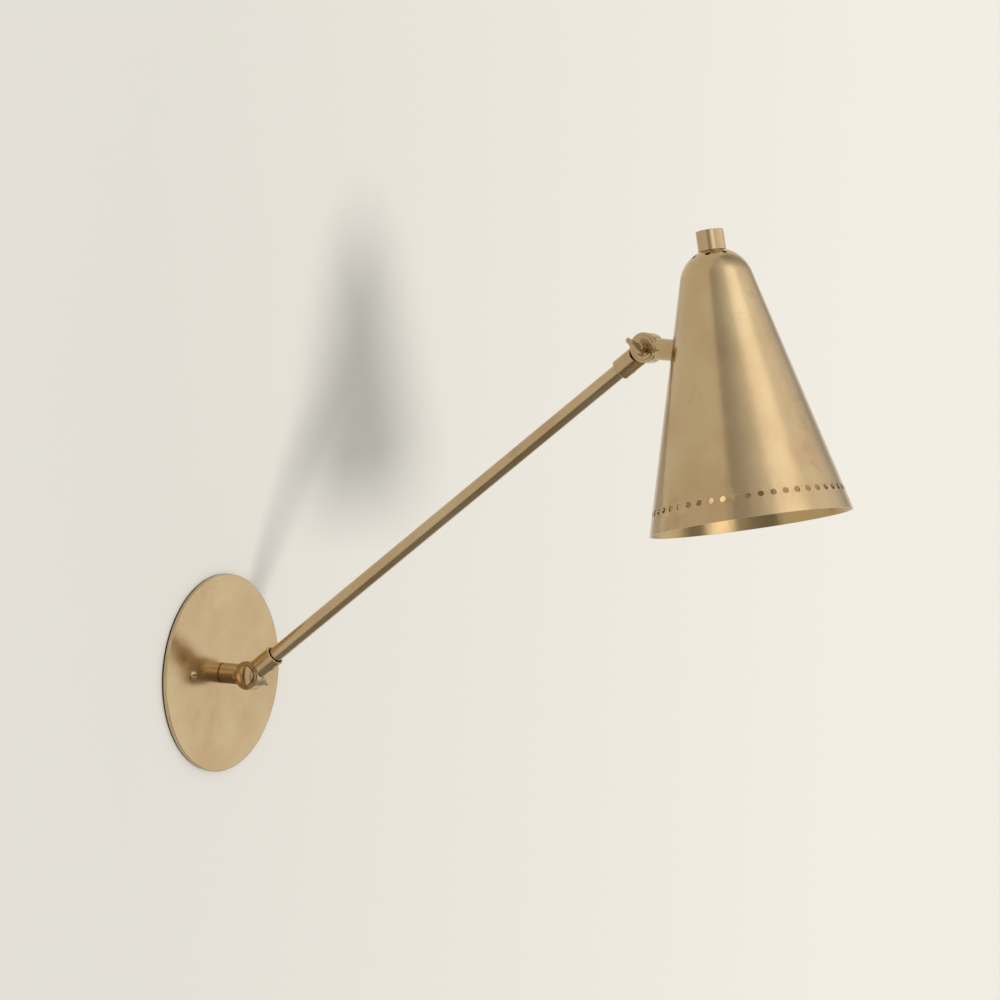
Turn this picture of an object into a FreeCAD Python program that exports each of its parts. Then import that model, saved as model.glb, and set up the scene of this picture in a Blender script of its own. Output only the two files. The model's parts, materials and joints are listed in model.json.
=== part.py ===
import FreeCAD, Part
import math
import os
import re
import sys

import Sketcher

# Articulating wall lamp in brass: a round wall plate, a short stem, a single straight arm between two
# clamped knuckles, and a perforated cone shade with a rotary switch on its dome.
#
# Frame: the origin is on the wall at the centre of the wall plate, the wall is the plane y = 0,
# the lamp stands out along -Y, +X is to the right of someone facing the wall and +Z is up.
# Both knuckles turn about lines parallel to X, and the arm and the shade lie in the plane x = 0.

Vector = FreeCAD.Vector

# Driving sizes, in millimetres and degrees.
SIZES = {
    # fits between pieces
    "running_fit": 0.05,
    "clearance_fit": 0.25,
    "press_fit": 0.02,
    "corner_break": 0.4,
    # wall plate and what holds it to the wall box
    "plate_diameter": 127.0,
    "plate_thickness": 2.4,
    "gasket_thickness": 1.2,
    "gasket_width": 15.0,
    "gasket_inset": 0.6,
    "mounting_spacing": 69.85,
    "mounting_screw_diameter": 4.16,
    "mounting_screw_reach": 22.0,
    "mounting_neck_diameter": 3.5,
    "mounting_head_diameter": 6.6,
    "mounting_head_height": 2.6,
    "mounting_slot_width": 0.9,
    "ground_screw_diameter": 3.5,
    "ground_screw_radius": 30.0,
    "ground_head_diameter": 8.0,
    "ground_head_height": 2.2,
    "ground_screw_depth": 1.6,
    # swivel behind the plate
    "nipple_diameter": 10.2,
    "nipple_bore": 7.0,
    "nipple_grip": 8.0,
    "nipple_reach": 10.0,
    "stop_washer_diameter": 19.0,
    "stop_washer_thickness": 1.2,
    "stop_tab_width": 4.0,
    "stop_tab_reach": 4.0,
    "stop_pin_diameter": 3.0,
    "stop_pin_height": 2.2,
    "stop_pin_depth": 1.4,
    "spring_washer_thickness": 0.8,
    "locknut_width": 15.0,
    "locknut_thickness": 3.0,
    "supply_lead_diameter": 2.6,
    "supply_lead_gap": 0.3,
    # knuckles
    "stem_diameter": 13.3,
    "hinge_standoff": 24.5,
    "knuckle_diameter": 18.4,
    "knuckle_half_thickness": 5.8,
    "knuckle_gap": 0.4,
    "pivot_diameter": 5.0,
    "pivot_head_diameter": 12.4,
    "pivot_head_height": 2.7,
    "pivot_slot_width": 1.4,
    "pivot_slot_depth": 1.3,
    "knuckle_face_diameter": 14.8,
    "knuckle_face_height": 0.6,
    "friction_washer_diameter": 16.0,
    "friction_washer_thickness": 0.4,
    "key_washer_diameter": 10.2,
    "key_washer_thickness": 0.9,
    "wire_way_diameter": 6.4,
    "wire_way_web": 4.0,
    # wing keys
    "key_hub_diameter": 7.0,
    "key_hub_length": 6.0,
    "key_rib_pitch": 1.5,
    "key_groove_width": 0.6,
    "key_groove_depth": 0.5,
    "key_wing_start": 2.6,
    "key_wing_root": 8.0,
    "key_wing_length": 15.3,
    "key_wing_depth": 8.8,
    "key_wing_thickness": 2.4,
    "key_wing_corner": 3.2,
    "key_wing_hollow": 14.0,
    "key_pivot_grip": 4.5,
    "lower_key_turn": 108.0,
    "upper_key_turn": 42.6,
    # arm
    "arm_length": 353.3,
    "arm_elevation": 38.06,
    "tube_diameter": 9.525,
    "tube_wall": 1.0,
    "sleeve_diameter": 13.2,
    "sleeve_reach": 22.9,
    "tube_grip": 12.0,
    "sleeve_mouth_depth": 2.0,
    "sleeve_mouth_clearance": 0.7,
    "set_screw_diameter": 3.0,
    "set_screw_slot_width": 0.6,
    "set_screw_place": 16.0,
    "arm_cable_diameter": 5.2,
    "arm_cable_gap": 0.15,
    # shade
    "shade_mouth_diameter": 122.3,
    "shade_half_angle": 14.805,
    "shade_height": 164.3,
    "shade_wall": 0.9,
    "shade_lean": 11.861,
    "dome_seat_diameter": 17.4,
    "dome_radius": 22.1,
    "perforation_diameter": 3.8,
    "perforation_height": 13.1,
    "perforation_count": 48,
    "perforation_phase": 4.72,
    "vent_diameter": 3.2,
    "vent_radius": 13.2,
    "vent_count": 8,
    "vent_phase": 14.0,
    # how the shade hangs on its stub
    "stub_diameter": 13.1,
    "stub_reach": 21.27,
    "stub_height": 109.77,
    "spigot_diameter": 9.8,
    "spigot_reach": 7.0,
    "stub_washer_diameter": 16.0,
    "stub_washer_thickness": 1.8,
    "saddle_allowance": 1.6,
    "stub_nut_width": 14.0,
    "stub_nut_thickness": 3.0,
    # rotary switch on the dome
    "collar_diameter": 13.4,
    "collar_thickness": 0.9,
    "bushing_diameter": 9.4,
    "switch_shaft_diameter": 6.0,
    "shaft_grip": 9.0,
    "shaft_depth": 7.0,
    "knob_diameter": 16.7,
    "knob_height": 12.3,
    "knob_gap": 0.35,
    "knob_recess_depth": 1.6,
    "knob_recess_clearance": 0.6,
    "switch_body_diameter": 22.0,
    "switch_body_height": 15.0,
    "spacer_diameter": 13.0,
    "spacer_height": 5.0,
    # lamp holder hung below the switch
    "strap_thickness": 1.0,
    "strap_width": 10.0,
    "strap_span": 27.0,
    "strap_height": 41.0,
    "strap_clearance": 1.0,
    "holder_nipple_diameter": 9.8,
    "holder_nipple_bore": 6.6,
    "holder_nipple_grip": 8.0,
    "holder_nipple_rise": 6.0,
    "holder_nut_width": 14.0,
    "holder_nut_thickness": 2.5,
    "holder_diameter": 34.0,
    "holder_height": 40.0,
    "holder_cap_diameter": 24.0,
    "holder_cap_height": 8.0,
    "lamp_thread_diameter": 26.4,
    "lamp_thread_length": 22.0,
    "lamp_shell_wall": 0.4,
    "lamp_shell_inset": 1.0,
    "lamp_cup_diameter": 22.0,
    "lamp_cup_depth": 4.4,
    "contact_width": 6.0,
    "contact_length": 11.0,
    "contact_thickness": 0.6,
    "contact_drop": 3.0,
    "contact_clearance": 1.0,
    "switch_lead_diameter": 1.8,
    "shade_cable_diameter": 3.0,
    "shade_cable_turn_room": 5.0,
    "shade_cable_clearance": 1.0,
}

# Places and sizes that follow from the driving ones.
LAYOUT = {
    "plate_front": "gasket_thickness + plate_thickness",
    "stem_reach": "hinge_standoff - plate_front",
    "stop_pin_ring": "stop_washer_diameter / 2 + stop_tab_reach / 2",
    "stop_washer_top": "stop_washer_thickness - gasket_thickness",
    "knuckle_inner": "friction_washer_thickness / 2",
    "knuckle_outer": "friction_washer_thickness / 2 + knuckle_half_thickness",
    "knuckle_clear": "knuckle_diameter / 2 + knuckle_gap",
    "key_base": "knuckle_outer + key_washer_thickness",
    "upper_hinge_y": "-hinge_standoff - arm_length * cos(arm_elevation)",
    "upper_hinge_z": "arm_length * sin(arm_elevation)",
    "stub_drop": "shade_half_angle - shade_lean",
    "mouth_radius": "shade_mouth_diameter / 2",
    "stub_foot_radius": "mouth_radius - stub_height * tan(shade_half_angle)",
    "hinge_to_axis": "stub_foot_radius + stub_reach * cos(shade_half_angle)",
    "hinge_to_mouth": "stub_height + stub_reach * sin(shade_half_angle)",
    "mouth_y": "upper_hinge_y - hinge_to_axis * cos(shade_lean) - hinge_to_mouth * sin(shade_lean)",
    "mouth_z": "upper_hinge_z + hinge_to_axis * sin(shade_lean) - hinge_to_mouth * cos(shade_lean)",
    "seat_radius": "dome_seat_diameter / 2",
    "seat_off_cone": "seat_radius * cos(shade_half_angle) + shade_height * sin(shade_half_angle)",
    "seat_up_cone": "shade_height * cos(shade_half_angle) - seat_radius * sin(shade_half_angle)",
    "dome_off_cone": "mouth_radius * cos(shade_half_angle) - dome_radius",
    "dome_up_cone": "seat_up_cone - sqrt(dome_radius ^ 2 - (seat_off_cone - dome_off_cone) ^ 2)",
    "dome_out": "dome_off_cone * cos(shade_half_angle) - dome_up_cone * sin(shade_half_angle)",
    "dome_height": "dome_off_cone * sin(shade_half_angle) + dome_up_cone * cos(shade_half_angle)",
    "dome_inner": "dome_radius - shade_wall",
    "dome_under": "shade_height - shade_wall",
    "perforation_radius": "mouth_radius - perforation_height * tan(shade_half_angle)",
    "vent_height": "dome_height + sqrt(dome_radius ^ 2 - (vent_radius - dome_out) ^ 2)",
    "vent_tilt": "asin((vent_radius - dome_out) / dome_radius)",
    "collar_top": "shade_height + collar_thickness",
    "knob_base": "shade_height + knob_gap",
    "knob_socket": "knob_base + knob_recess_depth",
    "strap_corner": "sqrt(strap_span ^ 2 + strap_width ^ 2) / 2 + strap_clearance",
    "strap_room": "mouth_radius - shade_wall / cos(shade_half_angle) - strap_corner",
    "strap_limit": "strap_room / tan(shade_half_angle)",
    "strap_top": "min(dome_under - spacer_height; strap_limit)",
    "switch_top": "strap_top - strap_thickness",
    "switch_base": "switch_top - switch_body_height",
    "strap_base": "strap_top - strap_height",
    "holder_top": "strap_base",
    "holder_shoulder": "holder_top - holder_cap_height",
    "holder_mouth": "holder_top - holder_height",
    "shell_outer": "lamp_thread_diameter / 2 + lamp_shell_wall",
    "shell_top": "holder_mouth + lamp_shell_inset + lamp_thread_length",
    "holder_nipple_top": "strap_base + holder_nipple_rise",
}


def expand(formula):
    """Write a formula's size and place names out as cells of the sheet and values of the layout."""
    def cell(match):
        name = match.group(0)
        if name in SIZES:
            return "Sizes." + name
        if name in LAYOUT:
            return "Layout." + name
        return name

    return re.sub(r"[a-z_]+", cell, str(formula))


def number(formula):
    """The present value of a formula, used for a sketch's first guess."""
    probe.setExpression("amount", expand(formula))
    probe.recompute()
    return probe.amount


doc = FreeCAD.newDocument("articulating_wall_lamp")

sheet = doc.addObject("Spreadsheet::Sheet", "Sizes")
for row, (alias, amount) in enumerate(SIZES.items(), start=1):
    sheet.set(f"A{row}", alias)
    sheet.set(f"B{row}", str(amount))
    sheet.setAlias(f"B{row}", alias)
doc.recompute()

layout = doc.addObject("App::VarSet", "Layout")
for name, formula in LAYOUT.items():
    layout.addProperty("App::PropertyFloat", name, "Layout")
    layout.setExpression(name, expand(formula))
probe = doc.addObject("App::VarSet", "Probe")
probe.addProperty("App::PropertyFloat", "amount", "Probe")
doc.recompute()

pieces = []


# ---------------------------------------------------------------- building blocks

def placed(body, turning="rotation(vector(1; 0; 0); 0)", x="0", y="0", z="0"):
    """Turn a piece and move it to x, y, z, all by formulas."""
    body.setExpression("Placement", expand(f"placement(vector({x}; {y}; {z}); {turning})"))


def new_body(label):
    body = doc.addObject("PartDesign::Body", label)
    body.Label = label
    pieces.append(body)
    return body


def sketch_on(body, plane, lift="0", right="0", up="0", tilt="0", swing="0"):
    """An empty sketch on an origin plane of its own body: lifted off the plane and shifted in it, tilted
    about its own x axis, and then swung round the line through the origin that its y axis lies along."""
    sketch = body.newObject("Sketcher::SketchObject", f"{body.Label}_sketch")
    home = [feature for feature in body.Origin.OriginFeatures if feature.Role == plane]
    sketch.AttachmentSupport = (home[0], [""])
    sketch.MapMode = "FlatFace"
    swung = f"placement(vector(0; 0; 0); rotation(vector(0; 1; 0); {swing}))"
    moved = f"placement(vector({right}; {up}; {lift}); rotation(vector(1; 0; 0); {tilt}))"
    sketch.setExpression("AttachmentOffset", expand(f"{swung} * {moved}"))
    return sketch


def hold(sketch, kind, geometry, point, formula):
    """Hold a point at a signed distance from the sketch's origin along x or y."""
    value = number(formula)
    index = sketch.addConstraint(Sketcher.Constraint(kind, -1, 1, geometry, point, value))
    sketch.renameConstraint(index, f"c{index}")
    sketch.setExpression(f"Constraints.c{index}", expand(formula))


def bound_radius(sketch, geometry, formula):
    index = sketch.addConstraint(Sketcher.Constraint("Radius", geometry, number(formula)))
    sketch.renameConstraint(index, f"c{index}")
    sketch.setExpression(f"Constraints.c{index}", expand(formula))


def arc_between(start, end, radius):
    """The short arc from start to end with its centre on the left for a positive radius."""
    chord = end - start
    middle = (start + end) * 0.5
    left = Vector(-chord.y, chord.x, 0).normalize()
    rise = max(radius * radius - chord.Length ** 2 / 4, 0.0) ** 0.5
    side = 1 if radius > 0 else -1
    centre = middle + left * (rise * side)
    towards = (middle - centre)
    if towards.Length < 1e-9:
        towards = left * -side
    crown = centre + towards.normalize() * abs(radius)
    return Part.Arc(start, crown, end)


def outline(sketch, corners):
    """Close an outline through corners (x, y) or (x, y, radius): the radius bends the run that follows."""
    spots = [Vector(number(corner[0]), number(corner[1]), 0) for corner in corners]
    count = len(corners)
    ends = []
    for index, corner in enumerate(corners):
        start = spots[index]
        end = spots[(index + 1) % count]
        if len(corner) == 2:
            sketch.addGeometry(Part.LineSegment(start, end), False)
            ends.append((1, 2))
            continue
        radius = number(corner[2])
        sketch.addGeometry(arc_between(start, end, radius), False)
        runs_left = (sketch.getPoint(index, 1) - start).Length < 1e-6
        ends.append((1, 2) if runs_left else (2, 1))
    for index, corner in enumerate(corners):
        after = (index + 1) % count
        join = Sketcher.Constraint("Coincident", index, ends[index][1], after, ends[after][0])
        sketch.addConstraint(join)
        hold(sketch, "DistanceX", index, ends[index][0], corner[0])
        hold(sketch, "DistanceY", index, ends[index][0], corner[1])
        if len(corner) == 3:
            bound_radius(sketch, index, f"abs({corner[2]})")


def circles(sketch, diameter, centres=(("0", "0"),)):
    for index, (x, y) in enumerate(centres):
        centre = Vector(number(x), number(y), 0)
        sketch.addGeometry(Part.Circle(centre, Vector(0, 0, 1), number(diameter) / 2), False)
        hold(sketch, "DistanceX", index, 3, x)
        hold(sketch, "DistanceY", index, 3, y)
        bound_radius(sketch, index, f"{diameter} / 2")


def box_outline(sketch, left, right, low, high):
    outline(sketch, [(left, low), (right, low), (right, high), (left, high)])


def hexagon(sketch, across_flats):
    """A hexagon with two corners on the sketch's x axis."""
    corner = f"{across_flats} / 2 / cos(30)"
    outline(sketch, [(f"{corner} * cos({60 * k})", f"{corner} * sin({60 * k})") for k in range(6)])


def feature_of(body, kind, sketch):
    feature = body.newObject(f"PartDesign::{kind}", f"{body.Label}_{kind.lower()}")
    feature.Profile = sketch
    return feature


def pad(body, sketch, length, both_ways=False, backwards=False):
    feature = feature_of(body, "Pad", sketch)
    feature.setExpression("Length", expand(length))
    feature.SideType = "Symmetric" if both_ways else "One side"
    feature.Reversed = backwards
    return feature


def cut(body, sketch, length=None, both_ways=False, backwards=False):
    """A pocket of a set length, or right through when no length is given. It must remove something."""
    doc.recompute()
    before = body.Shape.Volume
    feature = feature_of(body, "Pocket", sketch)
    feature.Reversed = backwards
    feature.SideType = "Symmetric" if both_ways else "One side"
    if length is None:
        feature.Type = "ThroughAll"
    else:
        feature.setExpression("Length", expand(length))
    doc.recompute()
    if not body.Shape.Volume < before - 1e-4:
        sys.exit(f"{feature.Name} removes nothing")
    return feature


def turned(body, corners):
    """Turn an outline of (radius, height) corners about the piece's own Z axis."""
    sketch = sketch_on(body, "XZ_Plane")
    outline(sketch, corners)
    feature = feature_of(body, "Revolution", sketch)
    feature.ReferenceAxis = (sketch, ["V_Axis"])
    feature.Angle = 360
    return feature


def tube_piece(label, outer, low, high, inner=None):
    """A turned ring, or a disc when there is no inner diameter, from low to high along its own Z axis."""
    body = new_body(label)
    edge = f"{inner} / 2" if inner else "0"
    turned(body, [(edge, low), (f"{outer} / 2", low), (f"{outer} / 2", high), (edge, high)])
    return body


def round_edges(body, pick, radius):
    """Round the edges of the piece's present shape for which pick is true."""
    doc.recompute()
    names = [f"Edge{k + 1}" for k, edge in enumerate(body.Shape.Edges) if pick(edge)]
    base = body.Tip
    feature = body.newObject("PartDesign::Fillet", f"{body.Label}_fillet")
    feature.Base = (base, names)
    feature.setExpression("Radius", expand(radius))
    return feature


def polar(body, feature, count):
    axis = [part for part in body.Origin.OriginFeatures if part.Role == "Z_Axis"][0]
    pattern = body.newObject("PartDesign::PolarPattern", f"{body.Label}_pattern")
    pattern.Originals = [feature]
    pattern.Axis = (axis, [""])
    pattern.Angle = 360
    pattern.setExpression("Occurrences", expand(count))
    body.Tip = pattern
    return pattern


def also_circle(sketch, diameter):
    """A centred circle added to a sketch that already has an outline."""
    index = sketch.GeometryCount
    sketch.addGeometry(Part.Circle(Vector(0, 0, 0), Vector(0, 0, 1), number(diameter) / 2), False)
    sketch.addConstraint(Sketcher.Constraint("Coincident", index, 3, -1, 1))
    bound_radius(sketch, index, f"{diameter} / 2")


def hex_nut(label, across_flats, low, thickness, bore):
    body = new_body(label)
    sketch = sketch_on(body, "XY_Plane", lift=low)
    hexagon(sketch, across_flats)
    also_circle(sketch, bore)
    pad(body, sketch, thickness)
    return body


# Ways to turn a piece's own Z axis
WALLWARD = "rotation(vector(1; 0; 0); -90)"
RIGHTWARD = "rotation(vector(0; 1; 0); 90)"
LEFTWARD = "rotation(vector(0; 1; 0); -90)"
UP_THE_ARM = "rotation(vector(1; 0; 0); 90 - arm_elevation)"
DOWN_THE_ARM = "rotation(vector(1; 0; 0); -90 - arm_elevation)"
INTO_THE_SHADE = "rotation(vector(1; 0; 0); 90 + stub_drop)"
UP_THE_SHADE = "rotation(vector(1; 0; 0); -shade_lean)"

LOWER_HINGE = {"y": "-hinge_standoff"}
UPPER_HINGE = {"y": "upper_hinge_y", "z": "upper_hinge_z"}
SHADE_MOUTH = {"y": "mouth_y", "z": "mouth_z"}


# ---------------------------------------------------------------- wall plate

def make_gasket():
    outer = "(plate_diameter - 2 * gasket_inset)"
    ring = tube_piece("wall_gasket", outer, "-gasket_thickness", "0", f"({outer} - 2 * gasket_width)")
    placed(ring, WALLWARD)


def make_backplate():
    body = new_body("backplate")
    rim = "plate_diameter / 2"
    turned(body, [
        ("0", "-gasket_thickness"),
        ("0", "-plate_front"),
        (f"{rim} - corner_break", "-plate_front", "corner_break"),
        (rim, "-plate_front + corner_break"),
        (rim, "-gasket_thickness"),
    ])
    nipple_hole = sketch_on(body, "XY_Plane")
    circles(nipple_hole, "(nipple_diameter + 2 * clearance_fit)")
    cut(body, nipple_hole, "3 * plate_front", both_ways=True)
    screw_holes = sketch_on(body, "XY_Plane")
    places = [("mounting_spacing / 2", "0"), ("-mounting_spacing / 2", "0")]
    circles(screw_holes, "(mounting_screw_diameter + 2 * clearance_fit)", places)
    cut(body, screw_holes, "3 * plate_front", both_ways=True)
    ground_hole = sketch_on(body, "XY_Plane", lift="-gasket_thickness")
    circles(ground_hole, "(ground_screw_diameter + 2 * press_fit)", [("0", "ground_screw_radius")])
    cut(body, ground_hole, "ground_screw_depth + press_fit")
    pin_hole = sketch_on(body, "XY_Plane", lift="-gasket_thickness")
    circles(pin_hole, "(stop_pin_diameter + 2 * press_fit)", [("0", "-stop_pin_ring")])
    cut(body, pin_hole, "stop_pin_depth + press_fit")
    placed(body, WALLWARD)


def make_mounting_screws():
    """Two dome-headed screws that run through the plate, by a plain neck, into the ears of the wall box."""
    head = "mounting_head_diameter / 2"
    neck = "mounting_neck_diameter / 2"
    shank = "mounting_screw_diameter / 2"
    top = "-plate_front - mounting_head_height"
    crown = "((mounting_head_diameter / 2) ^ 2 + mounting_head_height ^ 2) / (2 * mounting_head_height)"
    for side, x in (("left", "-mounting_spacing / 2"), ("right", "mounting_spacing / 2")):
        body = new_body(f"mounting_screw_{side}")
        turned(body, [
            ("0", top, crown),
            (head, "-plate_front"),
            (neck, "-plate_front"),
            (neck, "0"),
            (shank, "0"),
            (shank, "mounting_screw_reach"),
            ("0", "mounting_screw_reach"),
        ])
        slot = sketch_on(body, "XY_Plane", lift=top)
        half = "mounting_slot_width / 2"
        box_outline(slot, f"-{head}", head, f"-{half}", half)
        cut(body, slot, "mounting_head_height / 2", backwards=True)
        placed(body, WALLWARD, x=x)


def make_ground_screw():
    body = new_body("ground_screw")
    head = "ground_head_diameter / 2"
    shank = "ground_screw_diameter / 2"
    turned(body, [
        ("0", "-gasket_thickness - ground_screw_depth"),
        (shank, "-gasket_thickness - ground_screw_depth"),
        (shank, "-gasket_thickness"),
        (head, "-gasket_thickness"),
        (head, "-gasket_thickness + ground_head_height"),
        ("0", "-gasket_thickness + ground_head_height"),
    ])
    placed(body, WALLWARD, z="-ground_screw_radius")


def make_stop_pin():
    low = "-gasket_thickness - stop_pin_depth"
    pin = tube_piece("swivel_stop_pin", "stop_pin_diameter", low, "-gasket_thickness + stop_pin_height")
    placed(pin, WALLWARD, z="stop_pin_ring")


# ---------------------------------------------------------------- stem and its swivel

def knuckle_half(label, side, barrel, reach):
    """Half a knuckle with its barrel. The hinge line is the piece's own X axis, the half lies on that
    side (-1 or 1) of the middle, and the barrel runs up the piece's own Z axis to its reach."""
    body = new_body(label)
    radius = f"{barrel} / 2"
    turned(body, [
        ("0", "0"),
        (radius, "0"),
        (radius, f"{reach} - corner_break"),
        (f"{radius} - corner_break", reach),
        ("0", reach),
    ])
    mating = sketch_on(body, "YZ_Plane", lift=f"{side} * knuckle_inner")
    circles(mating, "(2 * knuckle_clear)")
    cut(body, mating, barrel, backwards=side < 0)
    if number(radius) > number("knuckle_outer"):
        beyond = sketch_on(body, "YZ_Plane", lift=f"{side} * knuckle_outer")
        circles(beyond, "knuckle_diameter")
        cut(body, beyond, barrel, backwards=side > 0)
    add_knuckle_disc(body, side)
    pivot = sketch_on(body, "YZ_Plane")
    circles(pivot, "(pivot_diameter + 2 * running_fit)")
    cut(body, pivot, "4 * knuckle_outer", both_ways=True)
    return body


def add_knuckle_disc(body, side):
    """The round cheek of a knuckle half, with a broken rim and a low raised face."""
    rim = "knuckle_diameter / 2"
    face = "knuckle_face_diameter / 2"
    shoulder = f"{side} * (knuckle_outer - knuckle_face_height)"
    corners = [
        (f"{side} * knuckle_inner", "0"),
        (f"{side} * knuckle_inner", rim),
        (f"{side} * (knuckle_outer - knuckle_face_height - corner_break)", rim, f"{-side} * corner_break"),
        (shoulder, f"{rim} - corner_break"),
        (shoulder, face),
        (f"{side} * knuckle_outer", face),
        (f"{side} * knuckle_outer", "0"),
    ]
    sketch = sketch_on(body, "XZ_Plane")
    outline(sketch, corners)
    disc = feature_of(body, "Revolution", sketch)
    disc.ReferenceAxis = (sketch, ["H_Axis"])
    disc.Angle = 360


def bore_down(body, diameter, mouth, depth):
    """A round hole down the piece's own Z axis from its mouth."""
    sketch = sketch_on(body, "XY_Plane", lift=mouth)
    circles(sketch, diameter)
    cut(body, sketch, depth)


def make_stem():
    body = knuckle_half("stem", -1, "stem_diameter", "stem_reach")
    bore_down(body, "wire_way_diameter", "stem_reach", "stem_reach - wire_way_web")
    bore_down(body, "(nipple_diameter + 2 * press_fit)", "stem_reach", "nipple_grip")
    placed(body, WALLWARD, **LOWER_HINGE)


def make_swivel():
    """The threaded nipple that carries the stem, and what turns with it behind the plate."""
    start = "-plate_front - nipple_grip"
    nipple = tube_piece("swivel_nipple", "nipple_diameter", start, "nipple_reach", "nipple_bore")
    placed(nipple, WALLWARD)

    bore = "(nipple_diameter + 2 * press_fit)"
    low = "-gasket_thickness"
    washer = tube_piece(
        "swivel_stop_washer", "stop_washer_diameter", low, f"{low} + stop_washer_thickness", bore)
    tab = sketch_on(washer, "XY_Plane", lift=low)
    half = "stop_tab_width / 2"
    outer = "stop_washer_diameter / 2 + stop_tab_reach"
    box_outline(tab, f"-{half}", half, "nipple_diameter / 2 + stop_tab_reach / 2", outer)
    pad(washer, tab, "stop_washer_thickness")
    placed(washer, WALLWARD)

    low = "stop_washer_top"
    spring = tube_piece(
        "swivel_spring_washer", "locknut_width", low, f"{low} + spring_washer_thickness", bore)
    placed(spring, WALLWARD)

    low = "stop_washer_top + spring_washer_thickness"
    nut = hex_nut("swivel_locknut", "locknut_width", low, "locknut_thickness", bore)
    placed(nut, WALLWARD)


def make_supply_leads():
    """Two leads side by side in the stem and the nipple, cut off level with the nipple's end."""
    apart = "(supply_lead_diameter / 2 + supply_lead_gap / 2)"
    for name, side in (("live", "-"), ("neutral", "")):
        low = "knuckle_clear + knuckle_gap"
        lead = tube_piece(f"supply_lead_{name}", "supply_lead_diameter", low, "hinge_standoff + nipple_reach")
        placed(lead, WALLWARD, x=f"{side}{apart}", **LOWER_HINGE)


# ---------------------------------------------------------------- knuckle hardware

def make_pivot_bolt(label, turning, place):
    """A slotted dome-headed bolt through both cheeks, with its far end in the key's hub."""
    head = "pivot_head_diameter / 2"
    shank = "pivot_diameter / 2"
    top = "-knuckle_outer - pivot_head_height"
    edge = "-knuckle_outer - pivot_head_height / 2"
    rise = "pivot_head_height / 2"
    crown = f"(({head}) ^ 2 + ({rise}) ^ 2) / (2 * {rise})"
    body = new_body(label)
    turned(body, [
        ("0", top, crown),
        (head, edge),
        (head, "-knuckle_outer"),
        (shank, "-knuckle_outer"),
        (shank, "key_base + key_pivot_grip"),
        ("0", "key_base + key_pivot_grip"),
    ])
    slot = sketch_on(body, "XY_Plane", lift=top)
    half = "pivot_slot_width / 2"
    box_outline(slot, f"-{head}", head, f"-{half}", half)
    cut(body, slot, "pivot_slot_depth", backwards=True)
    placed(body, turning, **place)


def make_washers(prefix, turning, place):
    bore = "(pivot_diameter + 2 * clearance_fit)"
    friction = tube_piece(
        f"{prefix}_friction_washer", "friction_washer_diameter", "-knuckle_inner", "knuckle_inner", bore)
    placed(friction, turning, **place)
    wave = tube_piece(f"{prefix}_key_washer", "key_washer_diameter", "knuckle_outer", "key_base", bore)
    placed(wave, turning, **place)


def make_wing_key(label, turning, spin, place):
    """A wing key: a flat wing, widest at its outer edge, on a ribbed hub that screws onto the pivot bolt."""
    body = new_body(label)
    root = "key_wing_root / 2"
    half = "key_wing_length / 2"
    low = "key_base + key_wing_start"
    high = "key_base + key_wing_start + key_wing_depth"
    sketch = sketch_on(body, "XZ_Plane")
    outline(sketch, [
        (root, low, "-key_wing_hollow"),
        (half, f"{high} - key_wing_corner", "key_wing_corner"),
        (f"{half} - key_wing_corner", high),
        (f"-({half} - key_wing_corner)", high, "key_wing_corner"),
        (f"-{half}", f"{high} - key_wing_corner", "-key_wing_hollow"),
        (f"-{root}", low),
    ])
    pad(body, sketch, "key_wing_thickness", both_ways=True)
    round_edges(body, lambda edge: edge.BoundBox.YLength < 1e-6, "key_wing_thickness * 0.35")
    hub_top = "key_base + key_hub_length"
    hub = "key_hub_diameter / 2"
    groove = "key_hub_diameter / 2 - key_groove_depth"
    first = "key_base + key_rib_pitch"
    second = "key_base + 2 * key_rib_pitch"
    turned(body, [
        ("0", "key_base"),
        (hub, "key_base"),
        (hub, f"{first} - key_groove_width"),
        (groove, f"{first} - key_groove_width"),
        (groove, first),
        (hub, first),
        (hub, f"{second} - key_groove_width"),
        (groove, f"{second} - key_groove_width"),
        (groove, second),
        (hub, second),
        (hub, f"{hub_top} - corner_break"),
        (f"{hub} - corner_break", hub_top),
        ("0", hub_top),
    ])
    bore = sketch_on(body, "XY_Plane", lift="key_base")
    circles(bore, "(pivot_diameter + 2 * running_fit)")
    cut(body, bore, "key_pivot_grip + clearance_fit", backwards=True)
    placed(body, f"{turning} * rotation(vector(0; 0; 1); {spin})", **place)


# ---------------------------------------------------------------- arm

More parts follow.
